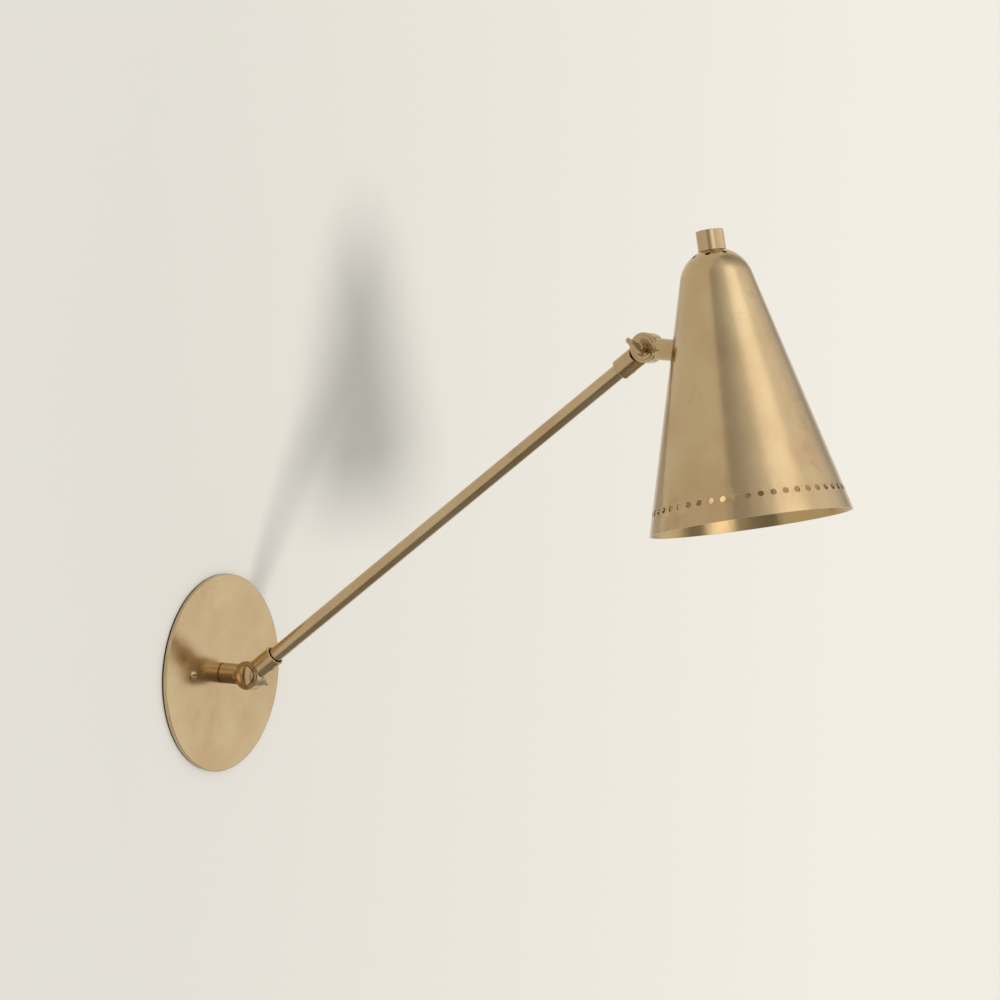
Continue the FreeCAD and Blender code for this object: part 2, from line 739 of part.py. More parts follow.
def make_elbow(label, turning, place, screw_side):
    """A knuckle half whose barrel is the sleeve that the arm tube is set into."""
    body = knuckle_half(label, 1, "sleeve_diameter", "sleeve_reach")
    bore_down(body, "wire_way_diameter", "sleeve_reach", "sleeve_reach - wire_way_web")
    bore_down(body, "(tube_diameter + 2 * press_fit)", "sleeve_reach", "tube_grip")
    bore_down(body, "(tube_diameter + 2 * sleeve_mouth_clearance)", "sleeve_reach", "sleeve_mouth_depth")
    hole = sketch_on(body, "XZ_Plane", up="set_screw_place")
    circles(hole, "(set_screw_diameter + 2 * press_fit)")
    cut(body, hole, "sleeve_diameter", backwards=screw_side < 0)
    placed(body, turning, **place)

    screw = new_body(f"{label}_set_screw")
    low = "tube_diameter / 2"
    high = "sleeve_diameter / 2"
    radius = "set_screw_diameter / 2"
    turned(screw, [("0", low), (radius, low), (radius, high), ("0", high)])
    slot = sketch_on(screw, "XY_Plane", lift=high)
    half = "set_screw_slot_width / 2"
    box_outline(slot, f"-{radius}", radius, f"-{half}", half)
    cut(screw, slot, "(sleeve_diameter - tube_diameter) / 4")
    base = f"placement(vector(0; {place['y']}; {place.get('z', '0')}); {turning})"
    local = f"placement(vector(0; 0; set_screw_place); rotation(vector(1; 0; 0); {-90 * screw_side}))"
    screw.setExpression("Placement", expand(f"{base} * {local}"))


def make_arm_tube():
    start = "sleeve_reach - tube_grip"
    end = "arm_length - sleeve_reach + tube_grip"
    tube = tube_piece("arm_tube", "tube_diameter", start, end, "(tube_diameter - 2 * tube_wall)")
    placed(tube, UP_THE_ARM, **LOWER_HINGE)


def make_arm_cable():
    """The lead through the arm, lying along the lower side of the tube's bore."""
    body = new_body("arm_cable")
    sketch = sketch_on(body, "XY_Plane", lift="sleeve_reach - tube_grip")
    drop = "-(tube_diameter / 2 - tube_wall - arm_cable_diameter / 2 - arm_cable_gap)"
    circles(sketch, "arm_cable_diameter", [("0", drop)])
    pad(body, sketch, "arm_length - 2 * (sleeve_reach - tube_grip)")
    placed(body, UP_THE_ARM, **LOWER_HINGE)


# ---------------------------------------------------------------- shade and what hangs it

def make_shade():
    """A spun cone that runs into a dome with a flat seat, holes over its rim and vents round its top."""
    body = new_body("shade")
    slope_cos = "cos(shade_half_angle)"
    slope_sin = "sin(shade_half_angle)"
    hole = "bushing_diameter / 2 + clearance_fit"
    turned(body, [
        ("mouth_radius", "0"),
        (f"dome_out + dome_radius * {slope_cos}", f"dome_height + dome_radius * {slope_sin}", "dome_radius"),
        ("seat_radius", "shade_height"),
        (hole, "shade_height"),
        (hole, "dome_under"),
        ("dome_out + sqrt(dome_inner ^ 2 - (dome_under - dome_height) ^ 2)", "dome_under", "-dome_inner"),
        (f"dome_out + dome_inner * {slope_cos}", f"dome_height + dome_inner * {slope_sin}"),
        (f"mouth_radius - shade_wall / {slope_cos}", "0"),
    ])
    stub_hole = sketch_on(
        body, "YZ_Plane", lift="stub_foot_radius", up="stub_height", tilt="-shade_half_angle", swing="90")
    circles(stub_hole, "(spigot_diameter + 2 * clearance_fit)")
    cut(body, stub_hole, "8 * shade_wall", both_ways=True)
    perforation = sketch_on(
        body, "YZ_Plane", lift="perforation_radius", up="perforation_height", tilt="-shade_half_angle",
        swing="perforation_phase")
    circles(perforation, "perforation_diameter")
    polar(body, cut(body, perforation, "4 * shade_wall", both_ways=True), "perforation_count")
    vent = sketch_on(
        body, "YZ_Plane", lift="vent_radius", up="vent_height", tilt="vent_tilt - 90", swing="vent_phase")
    circles(vent, "vent_diameter")
    polar(body, cut(body, vent, "4 * shade_wall", both_ways=True), "vent_count")
    placed(body, UP_THE_SHADE, **SHADE_MOUTH)


def cone_frame(gap):
    """The cone's own frame seen from the stub's frame, and its radii, with a gap outside its surface."""
    depth = "stub_reach + stub_foot_radius / cos(shade_half_angle)"
    down = "(stub_height - stub_foot_radius * tan(shade_half_angle))"
    base_y = f"-{down} * cos(shade_half_angle)"
    base_z = f"{depth} + {down} * sin(shade_half_angle)"
    place = f"placement(vector(0; {base_y}; {base_z}); rotation(vector(1; 0; 0); -90 - shade_half_angle))"
    low = f"mouth_radius + {gap}"
    high = f"mouth_radius + {gap} - (stub_height + stub_diameter) * tan(shade_half_angle)"
    return place, low, high


def make_shade_elbow():
    """The shade's own knuckle half: its stub ends in a saddle on the cone, and a spigot goes through it."""
    body = knuckle_half("shade_elbow", -1, "stub_diameter", "stub_reach + saddle_allowance")
    doc.recompute()
    before = body.Shape.Volume
    place, low, high = cone_frame("press_fit")
    saddle = body.newObject("PartDesign::SubtractiveCone", "shade_elbow_saddle")
    saddle.setExpression("Placement", expand(place))
    saddle.setExpression("Radius1", expand(low))
    saddle.setExpression("Radius2", expand(high))
    saddle.setExpression("Height", expand("stub_height + stub_diameter"))
    doc.recompute()
    if not body.Shape.Volume < before - 1:
        sys.exit("the saddle removes nothing")
    spigot = sketch_on(body, "XY_Plane", lift="stub_reach - corner_break")
    circles(spigot, "spigot_diameter")
    pad(body, spigot, "spigot_reach + corner_break")
    end = "stub_reach + spigot_reach"
    bore_down(body, "wire_way_diameter", end, f"{end} - wire_way_web")
    placed(body, INTO_THE_SHADE, **UPPER_HINGE)


def make_stub_washer():
    """A saddle washer inside the shade: flat for the nut, and curved where it lies against the cone."""
    blank = doc.addObject("Part::Cylinder", "stub_washer_blank")
    blank.setExpression("Radius", expand("stub_washer_diameter / 2"))
    blank.setExpression("Height", expand("shade_wall + stub_washer_thickness"))
    blank.setExpression("Placement.Base.z", expand("stub_reach"))
    cone = doc.addObject("Part::Cone", "stub_washer_cone")
    place, low, high = cone_frame("-shade_wall / cos(shade_half_angle) - press_fit")
    cone.setExpression("Placement", expand(place))
    cone.setExpression("Radius1", expand(low))
    cone.setExpression("Radius2", expand(high))
    cone.setExpression("Height", expand("stub_height + stub_diameter"))
    saddle = doc.addObject("Part::Common", "stub_washer_saddle")
    saddle.Base = blank
    saddle.Tool = cone
    hole = doc.addObject("Part::Cylinder", "stub_washer_hole")
    hole.setExpression("Radius", expand("spigot_diameter / 2 + clearance_fit"))
    hole.setExpression("Height", expand("2 * stub_reach"))
    hole.setExpression("Placement.Base.z", expand("stub_reach / 2"))
    washer = doc.addObject("Part::Cut", "stub_washer")
    washer.Base = saddle
    washer.Tool = hole
    pieces.append(washer)
    placed(washer, INTO_THE_SHADE, **UPPER_HINGE)


def make_stub_nut():
    low = "stub_reach + shade_wall + stub_washer_thickness"
    bore = "(spigot_diameter + 2 * press_fit)"
    nut = hex_nut("stub_nut", "stub_nut_width", low, "stub_nut_thickness", bore)
    placed(nut, INTO_THE_SHADE, **UPPER_HINGE)


# ---------------------------------------------------------------- rotary switch on the dome

def make_switch():
    bore = "(bushing_diameter + 2 * press_fit)"
    collar = tube_piece("switch_collar", "collar_diameter", "shade_height", "collar_top", bore)
    spacer = tube_piece("switch_spacer", "spacer_diameter", "strap_top", "dome_under", bore)
    body = new_body("switch_body")
    case = "switch_body_diameter / 2"
    shaft = "switch_shaft_diameter / 2 + running_fit"
    turned(body, [
        ("0", "switch_base"),
        (case, "switch_base"),
        (case, "switch_top"),
        ("bushing_diameter / 2", "switch_top"),
        ("bushing_diameter / 2", "collar_top"),
        (shaft, "collar_top"),
        (shaft, "collar_top - shaft_depth - clearance_fit"),
        ("0", "collar_top - shaft_depth - clearance_fit"),
    ])
    for piece in (collar, spacer, body):
        placed(piece, UP_THE_SHADE, **SHADE_MOUTH)


def make_knob():
    body = new_body("switch_knob")
    rim = "knob_diameter / 2"
    top = "knob_base + knob_height"
    turned(body, [
        ("0", "knob_base"),
        (rim, "knob_base"),
        (rim, f"{top} - corner_break", "corner_break"),
        (f"{rim} - corner_break", top),
        ("0", top),
    ])
    recess = sketch_on(body, "XY_Plane", lift="knob_base")
    circles(recess, "(collar_diameter + 2 * knob_recess_clearance)")
    cut(body, recess, "knob_recess_depth", backwards=True)
    socket = sketch_on(body, "XY_Plane", lift="knob_base")
    circles(socket, "(switch_shaft_diameter + 2 * press_fit)")
    cut(body, socket, "knob_recess_depth + shaft_grip + press_fit", backwards=True)
    hole = sketch_on(body, "XZ_Plane", up="knob_socket + shaft_grip / 2")
    circles(hole, "(set_screw_diameter + 2 * press_fit)")
    cut(body, hole, "knob_diameter")
    shaft = tube_piece(
        "switch_shaft", "switch_shaft_diameter", "collar_top - shaft_depth", "knob_socket + shaft_grip")
    for piece in (body, shaft):
        placed(piece, UP_THE_SHADE, **SHADE_MOUTH)

    screw = tube_piece(
        "knob_set_screw", "set_screw_diameter", "switch_shaft_diameter / 2", f"{rim} - corner_break")
    base = f"placement(vector(0; mouth_y; mouth_z); {UP_THE_SHADE})"
    local = "placement(vector(0; 0; knob_socket + shaft_grip / 2); rotation(vector(1; 0; 0); -90))"
    screw.setExpression("Placement", expand(f"{base} * {local}"))


# ---------------------------------------------------------------- lamp holder

def make_strap():
    """The flat strap, bent into a closed frame, that hangs the lamp holder under the switch."""
    body = new_body("holder_strap")
    half = "strap_span / 2"
    sketch = sketch_on(body, "XZ_Plane")
    box_outline(sketch, f"-{half}", half, "strap_base", "strap_top")
    pad(body, sketch, "strap_width", both_ways=True)
    window = sketch_on(body, "XZ_Plane")
    inside = f"({half} - strap_thickness)"
    box_outline(window, f"-{inside}", inside, "strap_base + strap_thickness", "strap_top - strap_thickness")
    cut(body, window, "2 * strap_width", both_ways=True)
    upper = sketch_on(body, "XY_Plane", lift="strap_top")
    circles(upper, "(bushing_diameter + 2 * clearance_fit)")
    cut(body, upper, "2 * strap_thickness")
    lower = sketch_on(body, "XY_Plane", lift="strap_base")
    circles(lower, "(holder_nipple_diameter + 2 * clearance_fit)")
    cut(body, lower, "2 * strap_thickness", backwards=True)
    placed(body, UP_THE_SHADE, **SHADE_MOUTH)


def make_holder():
    """The lamp holder: insulating body, threaded shell, centre contact, and the nipple it hangs by."""
    body = new_body("lamp_holder")
    rim = "holder_diameter / 2"
    cap = "holder_cap_diameter / 2"
    nipple = "holder_nipple_diameter / 2 + press_fit"
    grip = "holder_top - holder_nipple_grip"
    turned(body, [
        ("shell_outer + press_fit", "holder_mouth"),
        (rim, "holder_mouth"),
        (rim, "holder_shoulder"),
        (cap, "holder_shoulder"),
        (cap, "holder_top"),
        (nipple, "holder_top"),
        (nipple, grip),
        ("holder_nipple_bore / 2", grip),
        ("holder_nipple_bore / 2", "shell_top"),
        ("shell_outer + press_fit", "shell_top"),
    ])
    shell = new_body("lamp_holder_shell")
    inside = "lamp_thread_diameter / 2"
    cup = "lamp_cup_diameter / 2"
    step = "shell_top - lamp_cup_depth"
    window = "contact_length / 2 + contact_clearance"
    turned(shell, [
        ("shell_outer", "shell_top - lamp_thread_length"),
        ("shell_outer", step),
        (cup, step),
        (cup, "shell_top"),
        (window, "shell_top"),
        (window, "shell_top - lamp_shell_wall"),
        (f"{cup} - lamp_shell_wall", "shell_top - lamp_shell_wall"),
        (f"{cup} - lamp_shell_wall", f"{step} - lamp_shell_wall"),
        (inside, f"{step} - lamp_shell_wall"),
        (inside, "shell_top - lamp_thread_length"),
    ])
    contact = new_body("centre_contact")
    half = "contact_length / 2"
    sketch = sketch_on(contact, "XZ_Plane")
    outline(sketch, [
        (f"-{half}", "shell_top"),
        (f"-{half}", "shell_top - contact_thickness"),
        ("0", "shell_top - contact_thickness"),
        (half, "shell_top - contact_drop - contact_thickness"),
        (half, "shell_top - contact_drop"),
        ("contact_thickness", "shell_top"),
    ])
    pad(contact, sketch, "contact_width", both_ways=True)
    threaded = tube_piece(
        "holder_nipple", "holder_nipple_diameter", grip, "holder_nipple_top", "holder_nipple_bore")
    nut = hex_nut("holder_nut", "holder_nut_width", "strap_base + strap_thickness", "holder_nut_thickness",
                  "(holder_nipple_diameter + 2 * press_fit)")
    for piece in (body, shell, contact, threaded, nut):
        placed(piece, UP_THE_SHADE, **SHADE_MOUTH)


def make_switch_leads():
    """Two short leads from the switch down to the lamp holder, beside the strap and the nut."""
    apart = "(switch_lead_diameter / 2 + supply_lead_gap / 2)"
    beside = "-(holder_nut_width / 2 + switch_lead_diameter / 2 + supply_lead_gap)"
    for name, side in (("feed", "-"), ("return", "")):
        lead = new_body(f"switch_lead_{name}")
        sketch = sketch_on(lead, "XY_Plane", lift="holder_top")
        circles(sketch, "switch_lead_diameter", [(f"{side}{apart}", beside)])
        pad(lead, sketch, "switch_base - holder_top")
        placed(lead, UP_THE_SHADE, **SHADE_MOUTH)


def rounded_path(points, turn_room):
    """A wire through points: straight runs joined by arcs that start at most turn_room before a corner."""
    edges = []
    start = points[0]
    for before, corner, after in zip(points, points[1:], points[2:]):
        back = (before - corner).normalize()
        ahead = (after - corner).normalize()
        reach = min(turn_room, 0.45 * (before - corner).Length, 0.45 * (after - corner).Length)
        entry = corner + back * reach
        leave = corner + ahead * reach
        half_opening = back.getAngle(ahead) / 2
        radius = reach * math.tan(half_opening)
        crown = corner + (back + ahead).normalize() * (reach / math.cos(half_opening) - radius)
        edges.append(Part.LineSegment(start, entry).toShape())
        edges.append(Part.Arc(entry, crown, leave).toShape())
        start = leave
    edges.append(Part.LineSegment(start, points[-1]).toShape())
    return Part.Wire(edges)


def make_shade_cable():
    """The lead from the stub, up beside the lamp holder, over, and down into the holder's nipple."""
    slope = math.radians(number("shade_half_angle"))
    inward = Vector(0, -math.cos(slope), -math.sin(slope))
    hinge = Vector(0, number("hinge_to_axis"), number("hinge_to_mouth"))
    turn_room = number("shade_cable_turn_room")
    nipple_top = number("holder_nipple_top")
    beside = number("holder_diameter / 2 + shade_cable_diameter / 2 + shade_cable_clearance")
    to_the_holder = (hinge.y - beside) / -inward.y
    past_the_spigot = number("stub_reach + spigot_reach") + turn_room
    entry = hinge + inward * max(to_the_holder, past_the_spigot)
    over = max(nipple_top + 2 * turn_room, entry.z + turn_room)
    points = [
        hinge + inward * number("knuckle_clear + knuckle_gap"),
        entry,
        Vector(0, entry.y, over),
        Vector(0, 0, over),
        Vector(0, 0, number("strap_base")),
    ]
    path = rounded_path(points, turn_room)
    ring = Part.Circle(points[0], inward, number("shade_cable_diameter") / 2).toShape()
    cable = doc.addObject("Part::Feature", "shade_cable")
    cable.Shape = path.makePipeShell([Part.Wire(ring)], True, False)
    pieces.append(cable)
    placed(cable, UP_THE_SHADE, **SHADE_MOUTH)
    section = math.pi * number("shade_cable_diameter") ** 2 / 4
    print("shade cable volume over section times length:", cable.Shape.Volume / (section * path.Length))


# ---------------------------------------------------------------- the whole lamp

make_gasket()
make_backplate()
make_mounting_screws()
make_ground_screw()
make_stop_pin()
make_stem()
make_swivel()
make_supply_leads()
make_pivot_bolt("lower_pivot_bolt", RIGHTWARD, LOWER_HINGE)
make_washers("lower", RIGHTWARD, LOWER_HINGE)
make_wing_key("lower_wing_key", RIGHTWARD, "90 - lower_key_turn", LOWER_HINGE)
make_elbow("lower_elbow", UP_THE_ARM, LOWER_HINGE, -1)
make_arm_tube()
make_arm_cable()
make_elbow("upper_elbow", DOWN_THE_ARM, UPPER_HINGE, 1)
make_pivot_bolt("upper_pivot_bolt", LEFTWARD, UPPER_HINGE)
make_washers("upper", LEFTWARD, UPPER_HINGE)
make_wing_key("upper_wing_key", LEFTWARD, "90 - upper_key_turn", UPPER_HINGE)
make_shade_elbow()
make_stub_washer()
make_stub_nut()
make_shade()
make_switch()
make_knob()
make_strap()
make_holder()
make_switch_leads()
make_shade_cable()

doc.recompute()

faults = [item.Name for item in doc.Objects if "Invalid" in item.State or "Error" in item.State]
if faults:
    sys.exit("failed: " + ", ".join(faults))
for piece in pieces:
    if piece.Shape.isNull() or not piece.Shape.isValid() or len(piece.Shape.Solids) != 1:
        sys.exit(f"{piece.Label} is not one valid solid")

os.makedirs("parts", exist_ok=True)
for piece in pieces:
    piece.Shape.exportStep(f"parts/{piece.Label}.step")
print(len(pieces), "pieces written")
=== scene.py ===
# %% [markdown]
# # An articulating brass wall lamp
# The lamp's solids are already measured and packed: a round wall plate, a short stem, one straight arm
# between two clamped knuckles, and a perforated cone shade. This lesson dresses that frame. It sets the
# camera and the light, gives each piece its finish, and rebuilds the one piece whose real shape is finer
# than its solid, the thin rolled shell in the lamp holder.

import json
import math

import bmesh
import bpy
from mathutils import Matrix, Vector


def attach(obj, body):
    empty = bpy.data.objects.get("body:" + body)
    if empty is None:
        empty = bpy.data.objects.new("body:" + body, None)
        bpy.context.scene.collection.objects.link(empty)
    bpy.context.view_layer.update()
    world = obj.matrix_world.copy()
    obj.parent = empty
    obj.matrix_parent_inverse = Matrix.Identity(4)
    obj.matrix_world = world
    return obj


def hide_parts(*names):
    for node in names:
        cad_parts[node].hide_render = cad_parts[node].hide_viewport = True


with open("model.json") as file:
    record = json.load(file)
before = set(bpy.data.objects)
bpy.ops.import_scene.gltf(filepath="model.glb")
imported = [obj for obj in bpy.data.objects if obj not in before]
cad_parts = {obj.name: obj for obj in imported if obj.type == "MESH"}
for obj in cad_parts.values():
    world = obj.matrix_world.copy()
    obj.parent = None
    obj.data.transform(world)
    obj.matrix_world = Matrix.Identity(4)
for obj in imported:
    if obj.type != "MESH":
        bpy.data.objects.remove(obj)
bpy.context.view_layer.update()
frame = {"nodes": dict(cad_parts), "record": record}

# %% [markdown]
# The camera looks at the lamp from its left and slightly from above. It could be placed by eye, but then the
# thin arm would never lie on its place in the picture. So a camera was fitted to the outlines of the plate,
# the tube and the shade, which gives its place, three angles and a long lens, with no shift of the lens.

# %% Camera
AZIMUTH = math.radians(-59.456)
ELEVATION = math.radians(1.684)
ROLL = math.radians(2.321)
CAMERA_PLACE = Vector((-2.139718, -1.466663, 0.194135))
LENS_MM = 145.29
SENSOR_MM = 36

backwards = Vector((math.sin(AZIMUTH) * math.cos(ELEVATION),
                    -math.cos(AZIMUTH) * math.cos(ELEVATION),
                    math.sin(ELEVATION)))
level = Vector((math.cos(AZIMUTH), math.sin(AZIMUTH), 0))
upright = backwards.cross(level)
rightwards = math.cos(ROLL) * level + math.sin(ROLL) * upright
upwards = math.cos(ROLL) * upright - math.sin(ROLL) * level
turn = Matrix((rightwards, upwards, backwards)).transposed().to_4x4()

camera = bpy.data.objects.new("camera", bpy.data.cameras.new("camera"))
camera.data.sensor_width = SENSOR_MM
camera.data.lens = LENS_MM
camera.matrix_world = Matrix.Translation(CAMERA_PLACE) @ turn
bpy.context.scene.collection.objects.link(camera)
bpy.context.scene.camera = camera
bpy.context.scene.view_settings.view_transform = "Standard"
print("camera at", tuple(round(v, 3) for v in camera.location))

# %% [markdown]
# The lamp hangs on a pale plaster wall, and its shade throws one broad, soft shadow there. A wall could be a
# thick block, but only its face shows, so it is a single large sheet, turned upright and moved to just behind
# the gasket.

# %% Sheet of the wall
WALL_GAP = 0.0004
WALL_HALF_WIDTH = 8

wall_mesh = bpy.data.meshes.new("wall")
sheet = bmesh.new()
bmesh.ops.create_grid(sheet, x_segments=1, y_segments=1, size=WALL_HALF_WIDTH)
bmesh.ops.rotate(sheet, verts=sheet.verts, cent=(0, 0, 0), matrix=Matrix.Rotation(math.radians(90), 3, "X"))
bmesh.ops.translate(sheet, verts=sheet.verts, vec=(0, WALL_GAP, 0))
sheet.to_mesh(wall_mesh)
sheet.free()
wall = bpy.data.objects.new("wall", wall_mesh)
bpy.context.scene.collection.objects.link(wall)
print("wall faces", tuple(round(v, 2) for v in wall_mesh.polygons[0].normal))

# %% [markdown]
# Every finish is a small node tree. The trees could be drawn in the editor, but written out they can be read
# and repeated. These helpers make a material, add a node and join its inputs, so that each finish reads as a
# short list of steps.

# %% Node helpers
def finish(name):
    """A new material, with its tree and its main shader."""
    material = bpy.data.materials.new(name)
    material.use_nodes = True
    tree = material.node_tree
    return material, tree, tree.nodes["Principled BSDF"]


def join(tree, value, socket):
    """Give a socket another node's output, or else a plain value."""
    if isinstance(value, bpy.types.NodeSocket):
        tree.links.new(value, socket)
    else:
        socket.default_value = value


def node(tree, kind, settings=(), **inputs):
    """Add a node. Settings are its properties, and inputs are its sockets, with _ for a space."""
    made = tree.nodes.new(kind)
    for name, value in dict(settings).items():
        setattr(made, name, value)
    for name, value in inputs.items():
        join(tree, value, made.inputs[name.replace("_", " ")])
    return made


def reckon(tree, kind, operation, *operands):
    """The outputs of a node that reckons with numbers or vectors, in the order given."""
    made = tree.nodes.new(kind)
    made.operation = operation
    for socket, operand in zip(made.inputs, operands):
        join(tree, operand, socket)
    return made.outputs


def between(tree, factor, low, high, start=0.0, end=1.0):
    """A number that goes from low to high as the factor goes from start to end."""
    spread = node(tree, "ShaderNodeMapRange", Value=factor,
                  From_Min=start, From_Max=end, To_Min=low, To_Max=high)
    return spread.outputs["Result"]


def blended(tree, factor, first, second):
    """A colour between two others: the first where the factor is 0, the second where it is 1."""
    mix = tree.nodes.new("ShaderNodeMix")
    mix.data_type = "RGBA"
    join(tree, factor, mix.inputs["Factor"])
    for socket, colour in ((mix.inputs["A"], first), (mix.inputs["B"], second)):
        join(tree, colour if isinstance(colour, bpy.types.NodeSocket) else (*colour, 1), socket)
    return mix.outputs["Result"]


def either(tree, factor, first, second):
    """The first shader where the factor is 0, and the second where it is 1."""
    mix = node(tree, "ShaderNodeMixShader", Fac=factor)
    join(tree, first, mix.inputs[1])
    join(tree, second, mix.inputs[2])
    return mix.outputs["Shader"]


# %% [markdown]
# The plaster is greyer on the left and warmer on the right, as the room's light falls on it. One colour that
# changes along the wall shows this more simply than a second light would. Seen from behind, the sheet lets
# the eye through, and it has the round opening of the wall box behind the plate, so that the back of the lamp
# can be looked at too.

# %% Plaster
BOX_OPENING_RADIUS = 0.058
WALL_LEFT = (0.758, 0.746, 0.702)
WALL_RIGHT = (0.925, 0.902, 0.832)
LEFT_EDGE, RIGHT_EDGE = -0.1, 1.0
PLASTER_ROUGHNESS = 0.9


def plaster():
    """Matt plaster between two tones, clear from behind and inside the opening."""
    material, tree, shader = finish("pale_plaster")
    shader.inputs["Roughness"].default_value = PLASTER_ROUGHNESS
    place = node(tree, "ShaderNodeTexCoord").outputs["Object"]
    across = node(tree, "ShaderNodeSeparateXYZ", Vector=place).outputs["X"]
    tone = between(tree, across, 0, 1, LEFT_EDGE, RIGHT_EDGE)
    tree.links.new(blended(tree, tone, WALL_LEFT, WALL_RIGHT), shader.inputs["Base Color"])

    behind = node(tree, "ShaderNodeNewGeometry").outputs["Backfacing"]
    from_middle = reckon(tree, "ShaderNodeVectorMath", "LENGTH", place)["Value"]
    in_opening = reckon(tree, "ShaderNodeMath", "LESS_THAN", from_middle, BOX_OPENING_RADIUS)["Value"]
    unseen = reckon(tree, "ShaderNodeMath", "MAXIMUM", behind, in_opening)["Value"]
    clear = node(tree, "ShaderNodeBsdfTransparent").outputs["BSDF"]
    surface = either(tree, unseen, shader.outputs["BSDF"], clear)
    tree.links.new(surface, tree.nodes["Material Output"].inputs["Surface"])
    return material


wall.data.materials.append(plaster())
print("wall finish:", wall.data.materials[0].name)

# %% [markdown]
# Metal shows the room more than it shows its own colour, so the room has to be built too. It could be walls
# and windows, but a room that is only seen in brass needs no furniture. It is a pale surround with soft
# patches of light, each a lobe round a direction. Bright lobes are windows and the light side of the room.
# Dark ones are its unlit sides, the floor, and a strip beside the camera, which gives the cone its dark band.

# %% Lobes of light
def towards(azimuth, height):
    """A direction in the room: 0 is straight out from the wall, 90 to its right, and height is upward."""
    around = math.radians(azimuth)
    up = math.radians(height)
    return Vector((math.sin(around) * math.cos(up), -math.cos(around) * math.cos(up), math.sin(up)))


def lobe(tree, direction, azimuth, height, half_width, gain):
    """A soft patch of light round a direction, gone at half_width degrees from it."""
    middle = towards(azimuth, height)
    nearness = reckon(tree, "ShaderNodeVectorMath", "DOT_PRODUCT", direction, middle)["Value"]
    spread = node(tree, "ShaderNodeMapRange", {"interpolation_type": "SMOOTHSTEP"}, Value=nearness,
                  From_Min=math.cos(math.radians(half_width)), From_Max=1.0, To_Min=0.0, To_Max=gain)
    return spread.outputs["Result"]


# Azimuth, height and half width in degrees, and the light that the lobe adds or takes away.
LOBES = (
    (0, 44, 50, 0.40),      # wide light from high in front of the wall
    (-12, 43, 24, 0.50),    # its bright middle, the long highlight down the cone
    (18, 36, 34, 0.14),     # its fainter right side
    (50, 4, 38, 0.48),      # light side of the room, on the right
    (-46, 14, 20, 0.80),    # window beside the camera, a bright line on the knob
    (-23, -14, 20, 1.60),   # low bright patch that shines inside the rim
    (-95, 22, 36, -0.17),   # dark strip on the left, the cone's dark band
    (95, 25, 34, -0.14),    # unlit side on the far right
    (12, -9, 22, -0.24),    # dark gap between the low patch and the right side
    (-92, -27, 44, -0.18),  # low and dark on the left
    (45, 64, 28, -0.30),    # dim ceiling on the right, over the dome
    (0, -90, 100, -0.34),   # floor
)
print("lobes of light:", len(LOBES), "of which dark:", sum(gain < 0 for *_, gain in LOBES))

# %% [markdown]
# The lobes are added up into one sky. A plain wall needs none of them: lit by all these patches it would
# turn uneven. So the world asks what kind of ray is looking. Mirrored rays see the lobes, rays that light a
# dull surface see an even glow, and the camera, where it looks past the wall's edge, sees a pale backdrop.

# %% Room light
SURROUND = 0.61
MIRRORED_WHITE = (1.0, 0.99, 0.965, 1)
GLOW = 0.57
GLOW_WHITE = (1.0, 0.985, 0.955, 1)
BACKDROP = (0.87, 0.85, 0.79, 1)

room = bpy.data.worlds.new("room")
bpy.context.scene.world = room
room.use_nodes = True
sky = room.node_tree
sky.nodes.clear()
looking = node(sky, "ShaderNodeTexCoord").outputs["Generated"]
brightness = SURROUND
for azimuth, height, half_width, gain in LOBES:
    patch = lobe(sky, looking, azimuth, height, half_width, gain)
    brightness = reckon(sky, "ShaderNodeMath", "ADD", patch, brightness)["Value"]
mirrored = node(sky, "ShaderNodeBackground", Color=MIRRORED_WHITE, Strength=brightness).outputs["Background"]
glow = node(sky, "ShaderNodeBackground", Color=GLOW_WHITE, Strength=GLOW).outputs["Background"]
backdrop = node(sky, "ShaderNodeBackground", Color=BACKDROP, Strength=1.0).outputs["Background"]
ray = node(sky, "ShaderNodeLightPath").outputs
lit = either(sky, ray["Is Glossy Ray"], glow, mirrored)
seen = either(sky, ray["Is Camera Ray"], lit, backdrop)
output = sky.nodes.new("ShaderNodeOutputWorld")
sky.links.new(seen, output.inputs["Surface"])
print("nodes of the room:", len(sky.nodes))

# %% [markdown]
# One large light stands where the wall's shadow says it must: level with the shade and a little to the left.
# A sun would throw too sharp a shadow, so it is a round window, wide enough for the shadow's soft edge. It
# stays out of the metal, which takes its highlights from the room.

# %% Window light
WINDOW_DIRECTION = Vector((-0.398, -0.917, -0.02)).normalized()
WINDOW_DISTANCE = 12.0
WINDOW_WIDTH = 2.5
WINDOW_POWER = 740.0
WINDOW_COLOUR = (1.0, 0.975, 0.94)
SHADE_MIDDLE = Vector((0, -0.36, 0.2))

window = bpy.data.objects.new("window", bpy.data.lights.new("window", "AREA"))
window.data.shape = "DISK"
window.data.size = WINDOW_WIDTH
window.data.energy = WINDOW_POWER
window.data.color = WINDOW_COLOUR
window.location = SHADE_MIDDLE + WINDOW_DIRECTION * WINDOW_DISTANCE
window.rotation_euler = WINDOW_DIRECTION.to_track_quat("Z", "Y").to_euler()
window.visible_glossy = False
bpy.context.scene.collection.objects.link(window)
print("window at", tuple(round(v, 2) for v in window.location))

# %% [markdown]
# Real surfaces are never even. Two more helpers give every finish its patches and its grain. The patches are
# noise in the piece's own coordinates, so they stay on it when the lamp moves. The grain is a bump, too fine
# to model. It also rounds the sharp edges of the solids a little, which gives them the thin bright line that
# worked metal has, without a change to their meshes.

# %% Patches and grain
FINE_EDGE = 0.00025
EDGE_SAMPLES = 6
GRAIN_DEPTH = 0.0001


